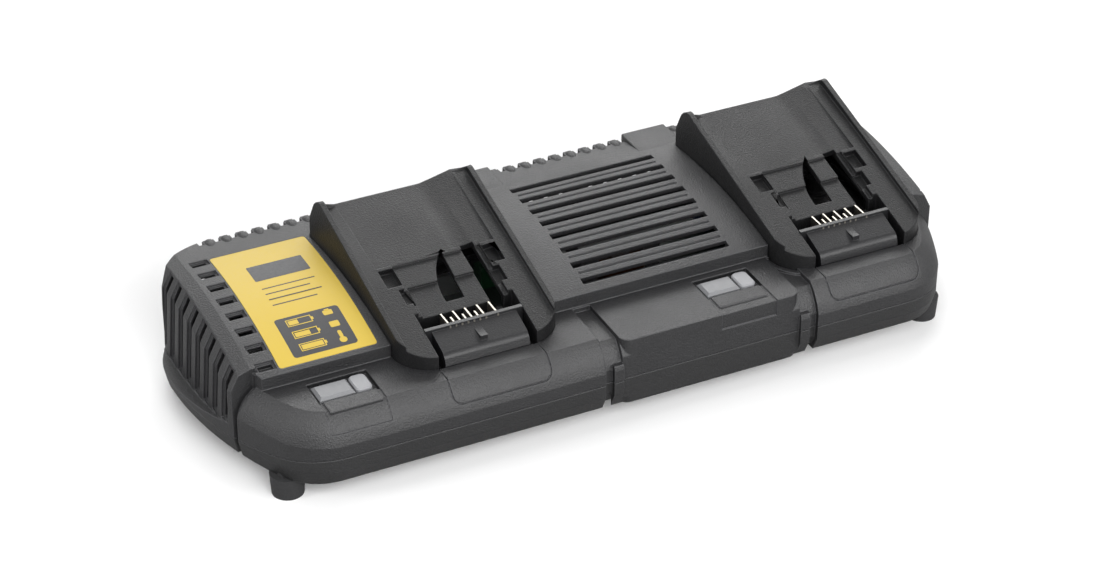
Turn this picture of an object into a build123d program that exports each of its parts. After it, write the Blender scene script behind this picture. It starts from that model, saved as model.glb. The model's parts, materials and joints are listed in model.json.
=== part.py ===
from build123d import *
import os
from math import cos, hypot, radians, sin, sqrt, tan

# Dual-port power tool battery charger.
# Frame: +X along the length, +Y to the rear, +Z up, origin under the middle of the housing at foot level.

# ---------------------------------------------------------------- driving dimensions, mm
body_length = 386.0
body_depth = 149.0
half_length = body_length / 2
half_depth = body_depth / 2
front_y = -half_depth
wall = 2.5
clearance = 0.2

# housing levels, each a height above the one below
foot_height = 11.0
lower_height = 14.6
band_height = 6.4
fascia_height = 14.0
step_rise = 6.5
roof_rise = 9.0

# underside edge: drawn in by tuck_in over a height of tuck_up, less at the two ends
tuck_in = 3.6
tuck_up = 7.5
end_relief = 2.0

# parting surface between the two housings, a shallow arch across the depth
parting_gap = 0.3
parting_mid_y = front_y + 54.5
parting_mid_z = 18.2
parting_back_z = 14.8

# housing plan
end_centre_y = half_depth - 44.5
front_corner_radius = 30.0
step_y = front_y + 37.0

# front fascia
fascia_run = 9.2
fascia_radius = 24.85

# ribbed end panels: distances from the middle, and drops below the top of the roof arch
ridge_x = half_length - 19.5
shoulder_x = half_length - 13.5
shoulder_drop = 2.0
bend_x = half_length - 9.0
bend_drop = 10.5
end_lean = 0.075
ledge_front_z = 27.0
ledge_mid_y = front_y + 79.5
ledge_mid_z = 20.0
ledge_back_z = 17.0
groove_y = front_y + 42.5
groove_width = 3.0
groove_depth = 2.4

# extra wall behind grooves and pockets
backing = 2.4

# middles of the two battery docks
left_dock_x = 125.0 - half_length
right_dock_x = half_length - 65.0

# centre panel in the front, between the docks
panel_left_x = left_dock_x + 60.2
panel_right_x = right_dock_x - 42.0
panel_setback = 2.0
panel_radius = 5.0
panel_depth = 20.0
post_width = 4.9
post_height = 23.4
post_gap = 4.4
post_depth = 3.6

# battery docks
dock_front_y = front_y + 18.5
dock_back_y = half_depth - 17.0
dock_front_width = 79.0
dock_back_width = 86.0
dock_base_z = 39.0
dock_corner_radius = 18.0
dock_back_radius = 7.0
dock_side_lean = 0.17
bed_angle = 14.45
bed_origin_y = dock_front_y + 16.9
bed_origin_z = 56.8
bed_width = 74.0
bed_thickness = 5.0
rim_rise = 2.0
rim_width = 2.6
hump_y = dock_back_y - 11.5
hump_mid_y = dock_back_y - 7.5
hump_mid_drop = 1.2
back_top_y = dock_back_y - 5.3
back_top_drop = 4.4
back_shoulder_z = 58.0
ledge_width = 4.0
ledge_thickness = 2.5

# openings in a dock bed, in dock width and in distance up the bed
bay_width = 49.3
bay_back_y = dock_front_y + 27.2
bay_floor_z = 42.0
notch_outer = 29.8
notch_width = 7.3
notch_start = 29.2
notch_length = 12.0
slot_outer = 25.5
slot_width = 5.0
slot_start = 17.0
slot_length = 10.0
channel_x = 14.2
channel_width = 16.8
channel_depth = 2.2
channel_overlap = 1.5
well_start = 15.8
well_length = 30.8
well_left_x = -6.0
well_left_width = 9.3
well_hook = 1.0
well_bow = 1.9
trench_x = 13.5
trench_end = 46.0
notch_depth = 3.4

# shallow steps in the bed: the rear part and two lower ones towards the contacts
rear_half = 30.0
rear_start = 43.0
rear_sink = 1.2
middle_half = 22.4
middle_sink = 2.2
front_half = 20.4
front_end = 28.5
front_sink = 3.4

# contact block and blades
block_width = 42.4
block_foot_y = dock_front_y + 0.3
block_top_front_y = dock_front_y + 1.7
block_top_front_z = 51.2
block_bar_y = dock_front_y + 17.5
block_bar_depth = 2.2
block_bar_z = 57.0
block_top_back_z = 55.6
key_width = 3.6
key_front_y = dock_front_y + 4.5
key_length = 7.5
blade_thickness = 0.8
blade_pitch = 3.0
blade_height = 9.6
blade_low_z = 47.0
blade_long = 8.6
blade_short = 4.4
blade_root = 2.4
peg_x = 15.0
peg_y = dock_front_y + 9.0
peg_diameter = 4.0
peg_length = 1.8
lead_diameter = 1.2

# roof vent
grille_left_x = left_dock_x + 60.0
grille_right_x = right_dock_x - 58.5
grille_front_y = front_y + 42.0
grille_back_y = half_depth - 25.5
louvre_gaps = 8
louvre_gap = 4.2
bar_groove = 1.6
bar_groove_depth = 0.8

# ventilation slots: a wide recess with a narrower slot through its floor
slot_recess = 1.2
slot_neck = 0.5
end_slot_count = 8
end_slot_pitch = 11.0
end_slot_width = 6.4
end_slot_first_y = front_y + 50.2
roof_slot_pitch = 11.85
roof_slot_first_y = front_y + 43.3
roof_slot_length = 9.0
roof_slot_width = 5.6
roof_slot_x = half_length - 26.45
rear_slot_pitch = 8.28
rear_slot_count = int((body_length - 70.0) / rear_slot_pitch)
rear_slot_mid_x = -5.5
rear_slot_width = 4.2
rear_slot_low_z = 33.0
rear_slot_height = 30.0

# label
label_left_x = 32.0 - half_length
label_right_x = left_dock_x - 45.4
label_front_y = front_y + 39.9
label_back_y = half_depth - 21.0
label_thickness = 0.6
label_radius = 1.5

# indicator pockets
pocket_offset = 69.2
pocket_width = 29.2
pocket_back_y = front_y + 32.7
pocket_depth = 2.4
pocket_low_z = 37.5
scribe_half = 25.0
scribe_low_z = 36.0
scribe_radius = 5.0
scribe_width = 0.6
lens_width = 17.2
lens_back_y = front_y + 29.5
lens_front_y = front_y + 18.3
lens_height = 3.4
lens_bevel = 1.2
lens_gap = 0.5
cap_width = 8.2
cap_reach = 0.8
cap_corner = 2.5
light_pipe_diameter = 4.0
light_pipe_length = 6.0
sill_width = 25.5
sill_back_y = front_y + 16.8
sill_front_y = front_y + 8.2
sill_rise = 0.1
sill_thickness = 1.6

# feet and screws
foot_x = half_length - 26.0
foot_front_y = front_y + 21.0
foot_rear_y = half_depth - 24.5
foot_diameter = 16.4
foot_taper = 0.7
foot_spigot_diameter = 10.0
foot_spigot = 1.5
foot_boss_top_z = 22.0
foot_counterbore = 5.0
screw_diameter = 3.5
screw_head_diameter = 6.6
screw_head_height = 2.6
screw_grip = 8.0
boss_diameter = 9.0
case_boss_front_y = front_y + 14.5
case_boss_rear_y = half_depth - 12.5
case_boss_outer_x = half_length - 44.0
case_boss_inner_x = (left_dock_x + right_dock_x) / 2 + 6.0
case_boss_right_front_y = front_y + 10.5
case_boss_right_rear_y = half_depth - 10.5
case_joint_z = 22.0
case_counterbore = 5.0
dock_boss_x = 31.0
dock_boss_front_y = dock_front_y + 40.0
dock_boss_rear_y = dock_back_y - 17.5
cross_length = 4.2
cross_width = 0.9
cross_depth = 1.2

# cord gland
gland_diameter = 11.0
gland_bore = 7.5
gland_flange = 13.6
gland_flange_depth = 2.5
gland_x = -40.0
gland_z = 26.0

# electronics
board_width = body_length - 100.0
board_depth = body_depth - 59.0
board_thickness = 1.6
board_y = 2.0
board_z = 19.5
board_screw_x = half_length - 73.0
board_screw_y = board_depth / 2 - 9.0
standoff_diameter = 7.0
core_width = 42.0
core_depth = 17.0
core_height = 28.0
core_leg = 9.0
core_yoke = 7.0
winding_margin = 1.0
choke_diameter = 26.0
choke_bore = 13.0
choke_height = 11.0
bulk_diameter = 18.0
bulk_height = 25.0
output_diameter = 10.0
output_height = 11.0
sink_length = 44.0
sink_thickness = 3.0
sink_height = 11.0
device_width = 10.0
device_thickness = 4.5
device_height = 9.0
bridge_width = 22.0
bridge_depth = 4.0
bridge_height = 11.0
film_width = 18.0
film_depth = 8.0
film_height = 11.0
fuse_length = 20.0
fuse_diameter = 5.2
terminal_width = 16.0
terminal_depth = 9.0
terminal_height = 11.0
led_diameter = 3.0
led_height = 4.0
indicator_board_width = 27.0
indicator_board_depth = 8.0
indicator_leg_diameter = 3.0
indicator_board_thickness = 1.2
transformer_spot = (28.0, 8.0)
choke_spot = (43.0 - board_width / 2, -15.0)
bulk_spots = [(14.0 - board_width / 2, y) for y in (-12.0, 14.0)]
output_spots = [(board_width / 2 - x, 34.0) for x in (51.0, 37.0)]
sink_spots = [(81.0 - board_width / 2, 34.0), (board_width / 2 - 43.0, -12.0)]
bridge_spot = (43.0 - board_width / 2, 18.0)
film_spot = (77.0 - board_width / 2, -20.0)
fuse_spot = (63.0 - board_width / 2, 2.0)
terminal_spot = (119.0 - board_width / 2, 34.0)

# ---------------------------------------------------------------- worked-out levels and places
under_z = foot_height
parting_z = under_z + lower_height
crease_z = parting_z + band_height
deck_z = crease_z + fascia_height
step_z = deck_z + step_rise
apex_z = step_z + roof_rise
apex_y = end_centre_y
roof_radius = ((apex_y - step_y) ** 2 + roof_rise**2) / (2 * roof_rise)
arch_z = apex_z - roof_radius
floor_z = under_z + wall
corner_centre_y = -half_depth + front_corner_radius
rear_corner_radius = half_depth - end_centre_y
panel_y = front_y + panel_setback
panel_x = (panel_left_x, panel_right_x)
panel_width = panel_right_x - panel_left_x
panel_centre_x = (panel_left_x + panel_right_x) / 2
dock_xs = {"left": left_dock_x, "right": right_dock_x}
bed_slope = tan(radians(bed_angle))
rim_reach = bed_width / 2 + rim_width
hole_diameter = screw_diameter + 2 * clearance
head_hole_diameter = screw_head_diameter + 2 * clearance
board_top = board_z + board_thickness
long_blade_xs = [2 * blade_pitch * i for i in (-2, -1, 0, 1, 2)]
blade_xs = long_blade_xs + [blade_pitch * i for i in (-3, -1, 1)]
lead_y = block_bar_y - blade_root / 2
valley_xs = [panel_x[0] - (post_width + post_gap) / 2, panel_x[1] + (post_width + post_gap) / 2]
post_xs = [panel_x[0] - post_width / 2, panel_x[1] + post_width / 2]
dock_screw_spots = [
    (x, y) for x in (-dock_boss_x, dock_boss_x) for y in (dock_boss_front_y, dock_boss_rear_y)
]
tab_reach = dock_front_width / 2 - dock_boss_x + boss_diameter / 2 + 1
tab_shift = 1 + (tab_reach / 2 - boss_diameter / 2 - 1) / dock_boss_x
louvre_pitch = (grille_back_y - grille_front_y - louvre_gap) / (louvre_gaps - 1)
louvre_ys = [grille_front_y + louvre_gap / 2 + louvre_pitch * i for i in range(louvre_gaps)]
grille_width = grille_right_x - grille_left_x
grille_x = (grille_left_x + grille_right_x) / 2
label_width = label_right_x - label_left_x
label_centre_x = (label_left_x + label_right_x) / 2
pocket_xs = [x - pocket_offset for x in dock_xs.values()]
pocket_floor_z = deck_z - pocket_depth
deck_under_z = deck_z - wall - backing
lens_y = (lens_front_y + lens_back_y) / 2
lens_xs = [x - pocket_width / 2 + 1 + lens_width / 2 for x in pocket_xs]
cap_shift = lens_width / 2 + lens_gap + cap_width / 2
pipe_xs = [x + shift for x in lens_xs for shift in (0, cap_shift)]
leg_reach = indicator_board_width / 2 - 2.5
leg_xs = [x + cap_shift / 2 + s * leg_reach for x in lens_xs for s in (-1, 1)]
indicator_z = pocket_floor_z - light_pipe_length - led_height - clearance
down = (Align.CENTER, Align.CENTER, Align.MIN)
up = (Align.CENTER, Align.CENTER, Align.MAX)
end_slot_ys = [end_slot_first_y + end_slot_pitch * i for i in range(end_slot_count)]
roof_slot_ys = [roof_slot_first_y + roof_slot_pitch * i for i in range(end_slot_count)]
foot_spots = {
    "front_left": (-foot_x, foot_front_y),
    "front_right": (foot_x, foot_front_y),
    "rear_left": (-foot_x, foot_rear_y),
    "rear_right": (foot_x, foot_rear_y),
}
case_screw_spots = [
    (-case_boss_outer_x, case_boss_front_y),
    (-case_boss_outer_x, case_boss_rear_y),
    (case_boss_inner_x, case_boss_front_y),
    (case_boss_inner_x, case_boss_rear_y),
    (case_boss_outer_x, case_boss_right_front_y),
    (case_boss_outer_x, case_boss_right_rear_y),
]
board_screw_spots = [
    (x, board_y + y) for x in (-board_screw_x, board_screw_x) for y in (-board_screw_y, board_screw_y)
]


def roof_z(y, drop=0.0):
    """Height of the arched roof at y, `drop` below its outer face."""
    return arch_z + sqrt((roof_radius - drop) ** 2 - (y - apex_y) ** 2)


def bed_z(y):
    """Height of a dock's inclined bed at y."""
    return bed_origin_z + bed_slope * (y - bed_origin_y)


def bed_plane(centre_x):
    """Plane on a dock's bed: x across the dock, y up the slope, z out of the bed."""
    tilt = radians(bed_angle)
    origin = (centre_x, bed_origin_y, bed_origin_z)
    return Plane(origin=origin, x_dir=(1, 0, 0), z_dir=(0, -sin(tilt), cos(tilt)))


def arch_height(y, near, middle, far):
    """Height at y of the circular arc through three (y, z) points."""
    (y1, z1), (y2, z2), (y3, z3) = near, middle, far
    a, b, c, d = y2 - y1, z2 - z1, y3 - y1, z3 - z1
    e = a * (y1 + y2) + b * (z1 + z2)
    f = c * (y1 + y3) + d * (z1 + z3)
    g = 2 * (a * (z3 - z2) - b * (y3 - y2))
    centre_y, centre_z = (d * e - b * f) / g, (a * f - c * e) / g
    side = 1 if z2 > centre_z else -1
    return centre_z + side * sqrt((y1 - centre_y) ** 2 + (z1 - centre_z) ** 2 - (y - centre_y) ** 2)


parting_points = [(front_y, parting_z), (parting_mid_y, parting_mid_z), (half_depth, parting_back_z)]
ledge_points = [(groove_y, ledge_front_z), (ledge_mid_y, ledge_mid_z), (end_slot_ys[-1], ledge_back_z)]


def plan_outline(inset, end_extra=0.0):
    """Plan of the housing, drawn in by `inset`, and by `end_extra` more at both ends."""
    end_r = half_length - inset - end_extra
    rear_r = rear_corner_radius - inset
    front_r = front_corner_radius - inset
    low_y = front_y + inset
    rear_x = end_r - rear_r
    front_x = sqrt((end_r - front_r) ** 2 - (end_centre_y - corner_centre_y) ** 2)
    turn_x = front_x * end_r / (end_r - front_r)
    turn_y = end_centre_y + (corner_centre_y - end_centre_y) * end_r / (end_r - front_r)
    with BuildSketch() as plan:
        with BuildLine():
            Line((-rear_x, half_depth - inset), (rear_x, half_depth - inset))
            RadiusArc((rear_x, half_depth - inset), (end_r, end_centre_y), rear_r)
            RadiusArc((end_r, end_centre_y), (turn_x, turn_y), end_r)
            RadiusArc((turn_x, turn_y), (front_x, low_y), front_r)
            Line((front_x, low_y), (-front_x, low_y))
            RadiusArc((-front_x, low_y), (-turn_x, turn_y), front_r)
            RadiusArc((-turn_x, turn_y), (-end_r, end_centre_y), end_r)
            RadiusArc((-end_r, end_centre_y), (-rear_x, half_depth - inset), rear_r)
        make_face()
    return plan.sketch


def side_prism(reach, *points):
    """Polygon of (y, z) points, extruded along X by `reach` to both sides of the middle."""
    with BuildPart() as prism:
        with BuildSketch(Plane.YZ):
            with BuildLine():
                Polyline(*points, close=True)
            make_face()
        extrude(amount=reach, both=True)
    return prism.part


def slope_section(centre_x):
    """Plane square to a dock's slope: x across the dock, y out of the bed."""
    tilt = radians(bed_angle)
    origin = (centre_x, bed_origin_y, bed_origin_z)
    return Plane(origin=origin, x_dir=(1, 0, 0), z_dir=(0, -cos(tilt), -sin(tilt)))


def below_arch(points, shift, start_y, back_y):
    """Space from start_y to back_y below the arc through three (y, z) points, moved up by `shift`."""
    with BuildPart() as space:
        with BuildSketch(Plane.YZ):
            with BuildLine():
                ends = [(y, arch_height(y, *points) + shift) for y in (start_y, points[1][0], back_y)]
                ThreePointArc(*ends)
                Polyline(ends[2], (back_y, 0), (start_y, 0), ends[0])
            make_face()
        extrude(amount=half_length + 2, both=True)
    return space.part


def fascia_cutter(drop):
    """Space outside the curved fascia, whose face is moved in by `drop`."""
    chord = hypot(fascia_run, fascia_height)
    rise = sqrt(fascia_radius**2 - chord**2 / 4)
    centre_in = fascia_run / 2 + rise * fascia_height / chord
    centre_z = crease_z + fascia_height / 2 - rise * fascia_run / chord
    radius = fascia_radius - drop
    low_z = centre_z + sqrt(radius**2 - (centre_in - drop) ** 2)
    high_in = centre_in - sqrt(radius**2 - (deck_z - drop - centre_z) ** 2)
    front_x = sqrt((half_length - front_corner_radius) ** 2 - (end_centre_y - corner_centre_y) ** 2)
    turn = half_length / (half_length - front_corner_radius)
    turn_point = (front_x * turn, end_centre_y + (corner_centre_y - end_centre_y) * turn)
    start_point = (sqrt(half_length**2 - end_centre_y**2), 0)
    with BuildPart() as cutter:
        with BuildLine() as path:
            RadiusArc((-start_point[0], 0), (-turn_point[0], turn_point[1]), -half_length)
            RadiusArc((-turn_point[0], turn_point[1]), (-front_x, front_y), -front_corner_radius)
            Line((-front_x, front_y), (front_x, front_y))
            RadiusArc((front_x, front_y), turn_point, -front_corner_radius)
            RadiusArc(turn_point, start_point, -half_length)
        along = path.wire() % 0
        start = Plane(origin=path.wire() @ 0, x_dir=(-along.Y, along.X, 0), z_dir=along)
        with BuildSketch(start):
            with BuildLine():
                low, high = (drop, low_z), (high_in, deck_z - drop)
                RadiusArc(low, high, radius)
                Polyline(high, (high_in, 2 * apex_z), (-4, 2 * apex_z), (-4, low_z), low)
            make_face()
        sweep()
        reach = half_depth + groove_y + drop + 5
        with Locations((0, groove_y + drop - reach / 2, deck_z)):
            Box(body_length + 20, reach, 2 * apex_z, mode=Mode.INTERSECT)
    return cutter.part


def envelope(drop):
    """Space under the roof, the deck and the end ledges, each lowered by `drop`."""
    foot_x_at = bend_x + end_lean * (roof_radius - bend_drop)
    half_profile = [(ridge_x, apex_z), (shoulder_x, apex_z - shoulder_drop), (bend_x, apex_z - bend_drop)]
    half_profile.append((foot_x_at, arch_z))
    with BuildPart() as space:
        with BuildSketch(Plane.XZ.offset(-apex_y)):
            with BuildLine():
                Polyline(*half_profile, *[(-x, z) for x, z in reversed(half_profile)], close=True)
            make_face()
            if drop:
                offset(amount=-drop, kind=Kind.INTERSECTION)
        revolve(axis=Axis((0, apex_y, arch_z), (1, 0, 0)))
        with Locations((0, step_y + drop - roof_radius, arch_z)):
            Box(2 * body_length, 2 * roof_radius, 4 * roof_radius, mode=Mode.SUBTRACT)
        edge_y = groove_y + drop
        top = deck_z - drop
        add(side_prism(half_length + 1, (front_y - 1, 0), (edge_y, 0), (edge_y, top), (front_y - 1, top)))
        add(below_arch(ledge_points, -drop, groove_y - 2, half_depth + 1))
    return space.part


def housing_form(drop):
    """Solid bounded by the housing's outer faces, each moved in by `drop`."""
    lean = tuck_in / tuck_up
    low_inset = tuck_in + drop * (sqrt(1 + lean**2) - lean)
    mid_z = under_z + tuck_up * (1 + drop * (sqrt(1 + lean**2) - 1) / tuck_in)
    with BuildPart() as form:
        with BuildSketch(Plane.XY.offset(under_z + drop)):
            add(plan_outline(low_inset, -end_relief))
        with BuildSketch(Plane.XY.offset(mid_z)):
            add(plan_outline(drop))
        loft(ruled=True)
        with BuildSketch(Plane.XY.offset(mid_z)):
            add(plan_outline(drop))
        extrude(amount=apex_z + 1 - mid_z)
        add(envelope(drop), mode=Mode.INTERSECT)
        add(fascia_cutter(drop), mode=Mode.SUBTRACT)
    return form.part


def thick_zones():
    """Regions whose wall is backed up: behind the grooves, pockets and front valleys."""
    with BuildPart() as zones:
        with Locations((0, groove_y, deck_z)):
            Box(body_length, groove_width + 2 * wall, 2 * apex_z)
        with Locations(*[(x, (front_y + pocket_back_y) / 2, deck_z) for x in pocket_xs]):
            length = pocket_back_y - front_y + 2 * wall
            Box(pocket_width + 2 * wall, length, 2 * (deck_z - pocket_low_z + wall))
        with Locations(*[(x, front_y, deck_z) for x in valley_xs]):
            Box(post_width + post_gap + 2 * wall, half_depth, 2 * apex_z)
    return zones.part


def panel_form(drop):
    """Upright centre panel, its front, ends, top and bottom moved in by `drop`."""
    low_z = under_z + drop
    with BuildPart() as form:
        with BuildSketch(Plane.XY.offset(low_z)):
            with Locations((panel_centre_x, panel_y + drop + panel_depth / 2)):
                RectangleRounded(panel_width - 2 * drop, panel_depth, panel_radius - drop)
        extrude(amount=deck_z - drop - low_z)
    return form.part


def front_band(extra):
    """Space in front of the centre panel, widened and deepened by `extra`."""
    with BuildPart() as space:
        with Locations((panel_centre_x, panel_y + extra - half_depth / 2, deck_z)):
            Box(panel_width + 2 * extra, half_depth, 4 * deck_z)
    return space.part


def footprint(centre_x, grow):
    """Plan of a dock, grown outward by `grow`."""
    front, back = dock_front_width / 2, dock_back_width / 2
    corners = [(-front, dock_front_y), (front, dock_front_y), (back, dock_back_y), (-back, dock_back_y)]
    with BuildSketch() as plan:
        with BuildLine():
            Polyline(*corners, close=True)
        make_face()
        fillet(plan.vertices().group_by(Axis.Y)[0], dock_corner_radius)
        fillet(plan.vertices().group_by(Axis.Y)[-1], dock_back_radius)
        if grow:
            offset(amount=grow)
    return Pos(centre_x, 0, 0) * plan.sketch


def footprint_solid(centre_x, grow, low_z, high_z):
    """Dock plan extruded between two heights."""
    with BuildPart() as block:
        with BuildSketch(Plane.XY.offset(low_z)):
            add(footprint(centre_x, grow))
        extrude(amount=high_z - low_z)
    return block.part


def end_slot(y, depth, width, margin):
    """End slot at y in the +X end, `depth` into the panel, shortened by `margin` at both ends."""
    top = roof_z(y)
    foot = arch_height(y, *ledge_points) + slot_neck + margin
    bend = top - bend_drop
    foot_x_at = bend_x + end_lean * (bend - foot)
    crown = top - shoulder_drop - slot_neck - margin
    with BuildPart() as cutter:
        with BuildSketch(Plane.XZ.offset(-y)):
            with BuildLine():
                Polyline(
                    (foot_x_at - depth, foot),
                    (bend_x - depth, bend),
                    (shoulder_x - depth / 2, crown),
                    (half_length + 5, crown),
                    (half_length + 5, foot),
                    close=True,
                )
            make_face()
        extrude(amount=width / 2, both=True)
    return cutter.part


def roof_box(x, y, width, depth, deep, lift=0.0):
    """Box square to the roof at (x, y), from `lift` above the face to `deep` below it."""
    lean = (y - apex_y) / roof_radius
    normal = Vector(0, lean, sqrt(1 - lean**2))
    plane = Plane(origin=(x, y, roof_z(y)), x_dir=(1, 0, 0), z_dir=normal)
    return plane.offset((lift - deep) / 2) * Box(width, depth, lift + deep)


def label_sheet(grow, top_drop, low_drop):
    """Curved sheet in the label's place, grown outward by `grow`, between two drops below the roof."""
    with BuildPart() as sheet:
        with BuildSketch(Plane.YZ.offset(label_centre_x)):
            with Locations((apex_y, arch_z)):
                Circle(roof_radius - top_drop)
                Circle(roof_radius - low_drop, mode=Mode.SUBTRACT)
        extrude(amount=label_width, both=True)
        with BuildSketch(Plane.XY.offset(step_z - roof_rise)):
            with Locations((label_centre_x, (label_front_y + label_back_y) / 2)):
                length = label_back_y - label_front_y
                RectangleRounded(label_width + 2 * grow, length + 2 * grow, label_radius + grow)
        extrude(amount=3 * roof_rise, mode=Mode.INTERSECT)
    return sheet.part


def scribe_cutter(centre_x):
    """U-shaped line over the deck edge in front of a dock."""
    height = 2 * (deck_z - scribe_low_z)
    inner_width, inner_height = 2 * (scribe_half - scribe_width), height - 2 * scribe_width
    with BuildPart() as cutter:
        with BuildSketch(Plane.XZ.offset(-dock_front_y)):
            with Locations((centre_x, deck_z)):
                RectangleRounded(2 * scribe_half, height, scribe_radius)
                inner_radius = scribe_radius - scribe_width
                RectangleRounded(inner_width, inner_height, inner_radius, mode=Mode.SUBTRACT)
        extrude(amount=half_depth)
        add(housing_form(scribe_width), mode=Mode.SUBTRACT)
    return cutter.part


def cover_form(drop):
    """Housing with its centre panel, each outer face moved in by `drop`."""
    with BuildPart() as form:
        add(housing_form(drop))
        add(front_band(drop), mode=Mode.SUBTRACT)
        add(panel_form(drop))
    return form.part


def pocket_cutter(low_y, high_y, deep):
    """Recess of depth `deep` in the deck and front at each indicator, from low_y to high_y."""
    with BuildPart() as cutter:
        with Locations(*[(x, (low_y + high_y) / 2, pocket_low_z) for x in pocket_xs]):
            Box(pocket_width, high_y - low_y, apex_z, align=down)
        add(cover_form(deep), mode=Mode.SUBTRACT)
    return cutter.part


os.makedirs("parts", exist_ok=True)

# ---------------------------------------------------------------- housing shell, both halves
with BuildPart() as hollow:
    add(cover_form(wall))
    add(thick_zones() - cover_form(wall + backing), mode=Mode.SUBTRACT)

# valleys beside the centre panel and the grooves that part the end panels from the front corners
with BuildPart() as valleys:
    with Locations(*[(x, front_y, deck_z) for x in valley_xs]):
        Box(post_width + post_gap, half_depth, 4 * apex_z)
    with Locations((0, groove_y, deck_z)):
        Box(body_length + 2, groove_width, 4 * apex_z)
    roof_side = [(step_y - 1, 0), (half_depth, 0), (half_depth, 2 * apex_z), (step_y - 1, 2 * apex_z)]
    add(side_prism(ridge_x - 3, *roof_side), mode=Mode.SUBTRACT)
    add(housing_form(groove_depth), mode=Mode.SUBTRACT)

with BuildPart() as posts:
    with Locations(*[(x, front_y, 0) for x in post_xs]):
        Box(post_width, 2 * post_depth, under_z + post_height, align=down)
    add(housing_form(0), mode=Mode.INTERSECT)

with BuildPart() as shell:
    add(cover_form(0))
    add(hollow.part, mode=Mode.SUBTRACT)
    add(valleys.part, mode=Mode.SUBTRACT)
    add(posts.part)

# ---------------------------------------------------------------- top housing
# everything that stands inside the housing, cut off inside the wall
with BuildPart() as inner_walls:
    for centre_x in dock_xs.values():
        add(footprint_solid(centre_x, clearance + wall, dock_base_z - ledge_thickness, 2 * apex_z))
    with Locations(*[(x, y, case_joint_z + parting_gap) for x, y in case_screw_spots]):
        Cylinder(boss_diameter / 2, 2 * apex_z, align=down)
    add(housing_form(wall / 2), mode=Mode.INTERSECT)

# roof vent: gaps between the bars and a fine groove along each bar
vent_cutters = [roof_box(grille_x, y, grille_width, louvre_gap, wall + 1, 1) for y in louvre_ys]
for y in louvre_ys[:-1]:
    bar_y = y + louvre_pitch / 2
    vent_cutters.append(roof_box(grille_x, bar_y, grille_width - wall, bar_groove, bar_groove_depth, 1))
# rows of slots: roof ends, end panels and rear wall
for y in roof_slot_ys:
    for x in (-roof_slot_x, roof_slot_x):
        vent_cutters.append(roof_box(x, y, roof_slot_length, roof_slot_width, slot_recess, 1))
        vent_cutters.append(roof_box(x, y, roof_slot_length - 2, roof_slot_width - 2.4, wall + 1, 1))
for y in end_slot_ys:
    recess = end_slot(y, slot_recess, end_slot_width, 0)
    slot = end_slot(y, 2 * wall, end_slot_width - 3, 1.5)
    for cutter in (recess, slot):
        vent_cutters += [cutter, mirror(cutter, about=Plane.YZ)]
for i in range(rear_slot_count):
    x = rear_slot_mid_x + rear_slot_pitch * (i - (rear_slot_count - 1) / 2)
    wide = Box(rear_slot_width, 2 * slot_recess, apex_z, align=down)
    narrow = Box(rear_slot_width - 1.6, 4 * wall, rear_slot_height, align=down)
    vent_cutters.append(Pos(x, half_depth, rear_slot_low_z) * wide)
    vent_cutters.append(Pos(x, half_depth, rear_slot_low_z + 1) * narrow)

with BuildPart() as top_housing:
    add(shell.part)
    add(below_arch(parting_points, parting_gap / 2, front_y - 2, half_depth + 2), mode=Mode.SUBTRACT)
    add(inner_walls.part)

    # dock wells, each with a ledge and four screw tabs under the dock
    for centre_x in dock_xs.values():
        add(footprint_solid(centre_x, clearance, dock_base_z, 2 * apex_z), mode=Mode.SUBTRACT)
        ledge_z = dock_base_z - ledge_thickness
        add(footprint_solid(centre_x, -ledge_width, ledge_z, dock_base_z), mode=Mode.SUBTRACT)
        with Locations(*[(centre_x + x * tab_shift, y, dock_base_z) for x, y in dock_screw_spots]):
            Box(tab_reach, boss_diameter + 2, ledge_thickness, align=up)
        with Locations(*[(centre_x + x, y, dock_base_z) for x, y in dock_screw_spots]):
            Cylinder(hole_diameter / 2, ledge_thickness, align=up, mode=Mode.SUBTRACT)
    with Locations(*[(x, y, case_joint_z) for x, y in case_screw_spots]):
        Cylinder(screw_diameter / 2, screw_grip + 2, align=down, mode=Mode.SUBTRACT)

    # roof vent and the rows of slots
    add(vent_cutters, mode=Mode.SUBTRACT)

    # label recess, indicator pockets with a sill in front, scribed line before each dock
    add(label_sheet(clearance, -1, label_thickness), mode=Mode.SUBTRACT)
    add(pocket_cutter(sill_back_y, pocket_back_y, pocket_depth), mode=Mode.SUBTRACT)
    add(pocket_cutter(front_y - 1, sill_back_y, scribe_width), mode=Mode.SUBTRACT)
    with Locations(*[(x, (sill_back_y + sill_front_y) / 2, deck_z + sill_rise) for x in pocket_xs]):
        Box(sill_width, sill_back_y - sill_front_y, sill_thickness, align=up)
    for centre_x in dock_xs.values():
        add(scribe_cutter(centre_x), mode=Mode.SUBTRACT)

    # holes for the light pipes and legs for the indicator boards
    with Locations(*[(x, lens_y, pocket_floor_z) for x in pipe_xs]):
        Cylinder(light_pipe_diameter / 2 + clearance, wall + backing, align=up, mode=Mode.SUBTRACT)
    with Locations(*[(x, lens_y, indicator_z) for x in leg_xs]):
        Cylinder(indicator_leg_diameter / 2, deck_under_z + 0.5 - indicator_z, align=down)

    # cord gland hole
    with Locations((gland_x, half_depth, gland_z)):
        Cylinder(gland_diameter / 2 + clearance, 4 * wall, rotation=(90, 0, 0), mode=Mode.SUBTRACT)
top_housing.part.label = "top_housing"
export_step(top_housing.part, "parts/top_housing.step")

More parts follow.
